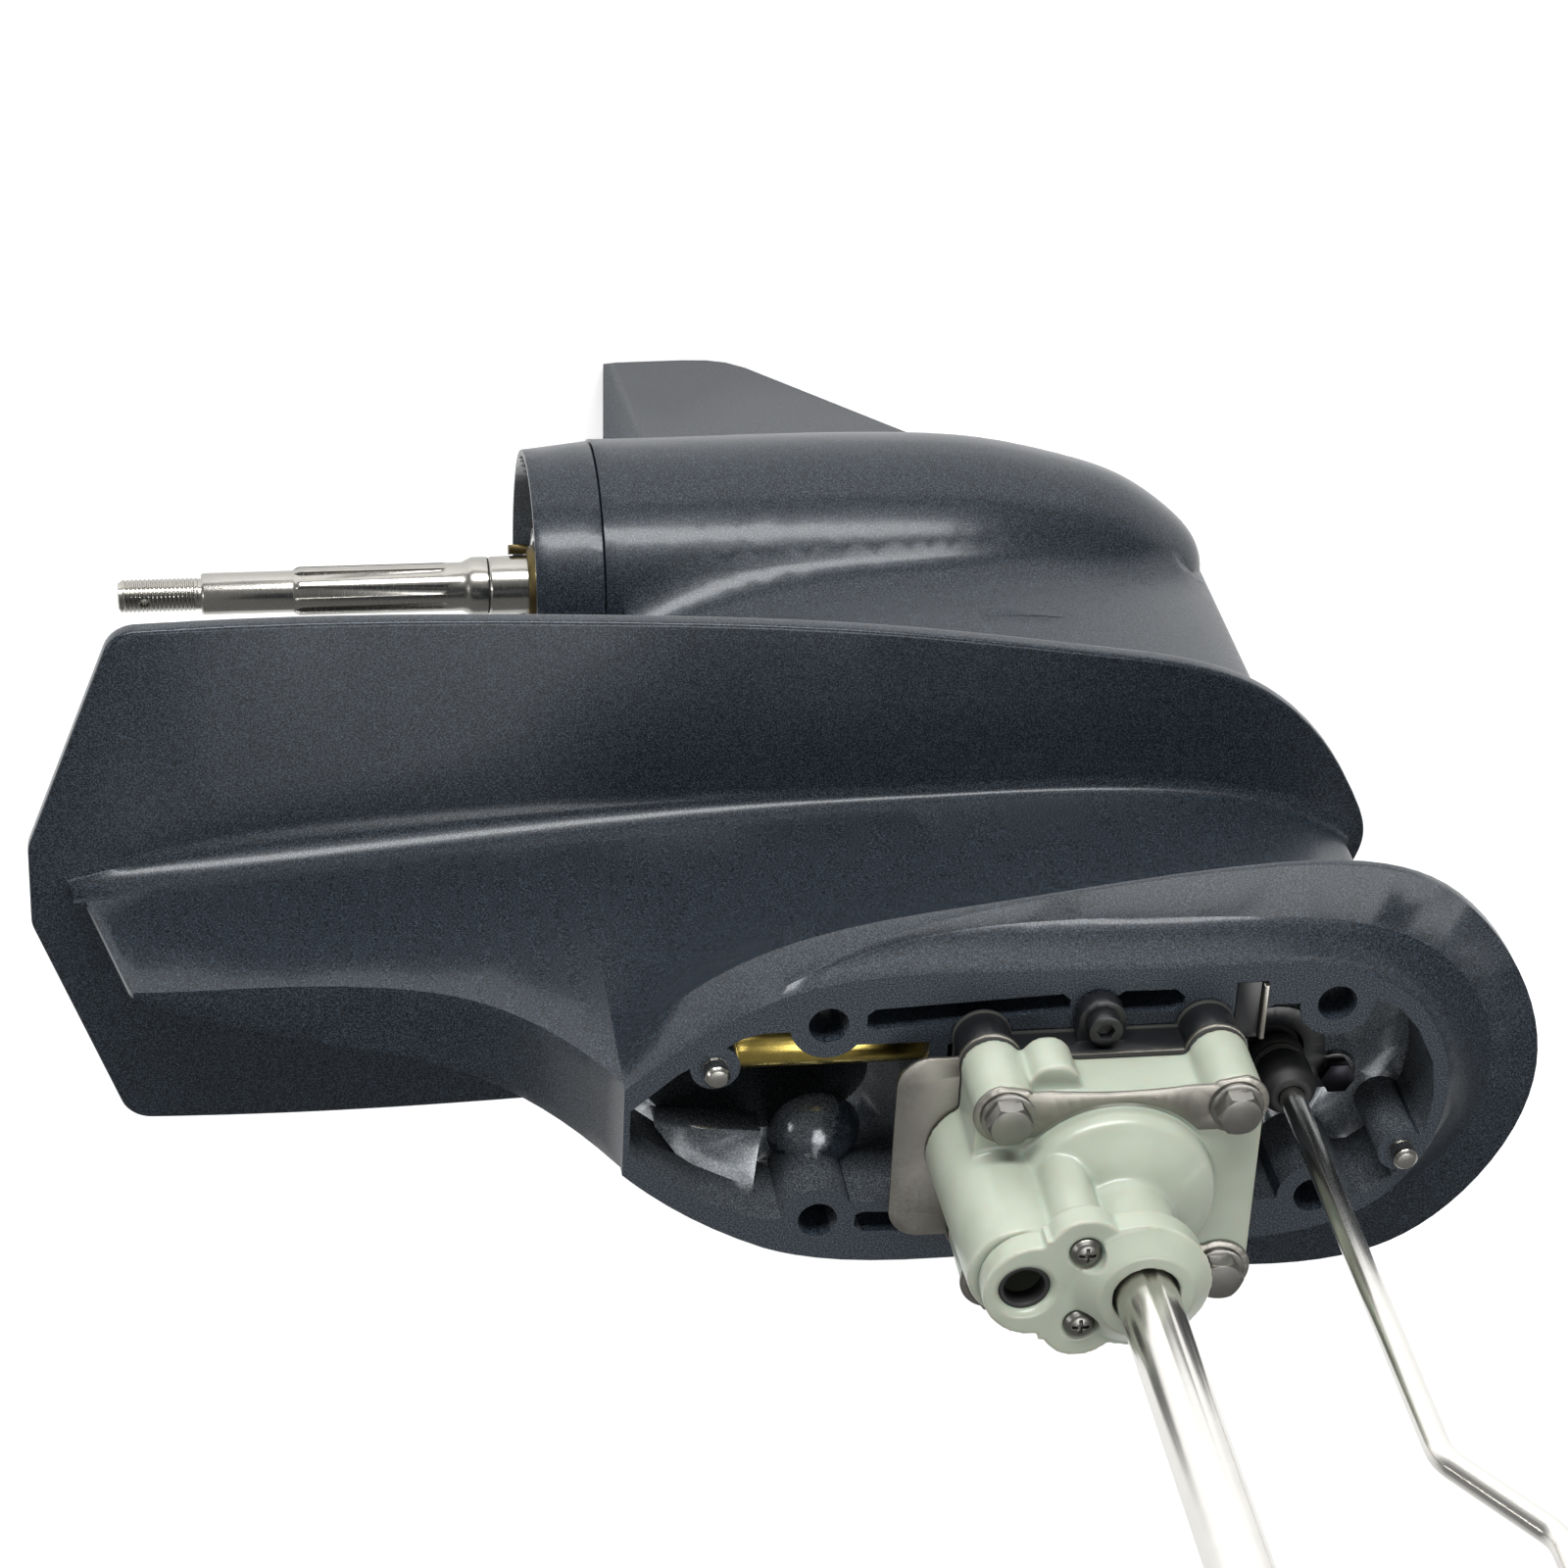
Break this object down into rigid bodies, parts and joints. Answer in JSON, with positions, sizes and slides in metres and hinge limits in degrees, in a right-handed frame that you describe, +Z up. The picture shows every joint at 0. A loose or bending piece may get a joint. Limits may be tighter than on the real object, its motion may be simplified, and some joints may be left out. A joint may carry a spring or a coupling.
{
  "type": "outboard lower unit",
  "caption": "Outboard gearcase with skeg, anti-ventilation plate, water pump, driveshaft, shift rod, bevel gears with dog clutch and a splined propeller shaft.",
  "frame": {"origin": "centre of the four bolt holes in the deck face", "axes": "+X forward, from the propeller shaft to the torpedo's nose; +Y to port; +Z up along the driveshaft"},
  "size_m": [0.3804, 0.1548, 0.7604],
  "materials": {
    "painted_casting": "satin metallic enamel",
    "bare_casting": "machined",
    "shaft_steel": "ground",
    "gear_steel": "cut and hardened",
    "bearing_steel": "polished",
    "bolt_steel": "zinc plated",
    "plate_steel": "mottled stainless",
    "brass": "worn",
    "rubber": "matte",
    "gasket": "matte",
    "pump_plastic": "milky moulded",
    "black_plastic": "moulded",
    "zinc": "raw cast"
  },
  "bodies": {
    "casing": {"anode": "zinc", "anode_screw": "bolt_steel", "bearing_carrier": "painted_casting", "boot_clamp_ring": "plate_steel", "cap_screws": "bolt_steel", "carrier_bolts": "bolt_steel", "carrier_needle_bearing": "bearing_steel", "carrier_o_ring": "rubber", "cooling_tube": "brass", "dowel_pins": "shaft_steel", "driveshaft_bush": "brass", "driveshaft_seals": "rubber", "forward_bearing_outer": "bearing_steel", "gearcase_housing": "painted_casting", "outlet_grommet": "rubber", "pinion_bearing": "bearing_steel", "plug_gaskets": "gasket", "propshaft_seals": "rubber", "pump_base": "black_plastic", "pump_base_gasket": "gasket", "pump_base_screws": "black_plastic", "pump_bolts": "bolt_steel", "pump_gasket": "gasket", "pump_housing": "pump_plastic", "pump_liner": "plate_steel", "pump_outlet_cap": "pump_plastic", "pump_straps": "plate_steel", "reverse_bearing_outer": "bearing_steel", "rod_boot": "rubber", "rod_guide_bolt": "bolt_steel", "rod_guide_plate": "plate_steel", "side_plugs": "plate_steel", "thrust_washer": "brass", "water_screens": "black_plastic", "wear_plate": "plate_steel"},
    "drive": {"driveshaft": "shaft_steel", "pinion": "gear_steel", "pinion_nut": "bolt_steel", "pinion_thrust_washer": "brass", "impeller": "rubber", "impeller_key": "shaft_steel"},
    "forward": {"forward_gear": "gear_steel", "forward_bearing_inner": "bearing_steel"},
    "reverse": {"reverse_gear": "gear_steel", "reverse_bearing_inner": "bearing_steel"},
    "propeller_shaft": {"propshaft": "shaft_steel", "propshaft_thrust_collar": "brass", "shift_spring": "shaft_steel"},
    "clutch": {"dog_clutch": "gear_steel", "clutch_pin": "gear_steel", "clutch_pin_ring": "shaft_steel", "shift_slider": "shaft_steel"},
    "plunger": {"shift_plunger": "shaft_steel"},
    "rod": {"shift_rod": "shaft_steel", "shift_cam": "gear_steel"}
  },
  "joints": [
    {"name": "drive_spin", "type": "hinge", "parent": "casing", "child": "drive", "pos_m": [0.0017, 0, 0], "axis": [0, 0, 1], "continuous": true},
    {"name": "forward_gear_spin", "type": "hinge", "parent": "casing", "child": "forward", "pos_m": [0.0017, 0, -0.283], "axis": [1, 0, 0], "continuous": true},
    {"name": "reverse_gear_spin", "type": "hinge", "parent": "casing", "child": "reverse", "pos_m": [0.0017, 0, -0.283], "axis": [1, 0, 0], "continuous": true},
    {"name": "propshaft_spin", "type": "hinge", "parent": "casing", "child": "propeller_shaft", "pos_m": [0.0017, 0, -0.283], "axis": [1, 0, 0], "continuous": true},
    {"name": "rod_slide", "type": "slide", "parent": "casing", "child": "rod", "axis": [0, 0, 1], "range_m": [-0.008, 0]},
    {"name": "plunger_slide", "type": "slide", "parent": "casing", "child": "plunger", "axis": [1, 0, 0], "range_m": [-0.006, 0]},
    {"name": "clutch_slide", "type": "slide", "parent": "propeller_shaft", "child": "clutch", "axis": [1, 0, 0], "range_m": [-0.006, 0]}
  ],
  "couplings": [
    {"joint": "forward_gear_spin", "follows": "drive_spin", "ratio": -0.48148},
    {"joint": "reverse_gear_spin", "follows": "drive_spin", "ratio": 0.48148},
    {"joint": "propshaft_spin", "follows": "drive_spin", "ratio": -0.48148},
    {"joint": "plunger_slide", "follows": "rod_slide", "ratio": 0.75},
    {"joint": "clutch_slide", "follows": "rod_slide", "ratio": 0.75}
  ]
}
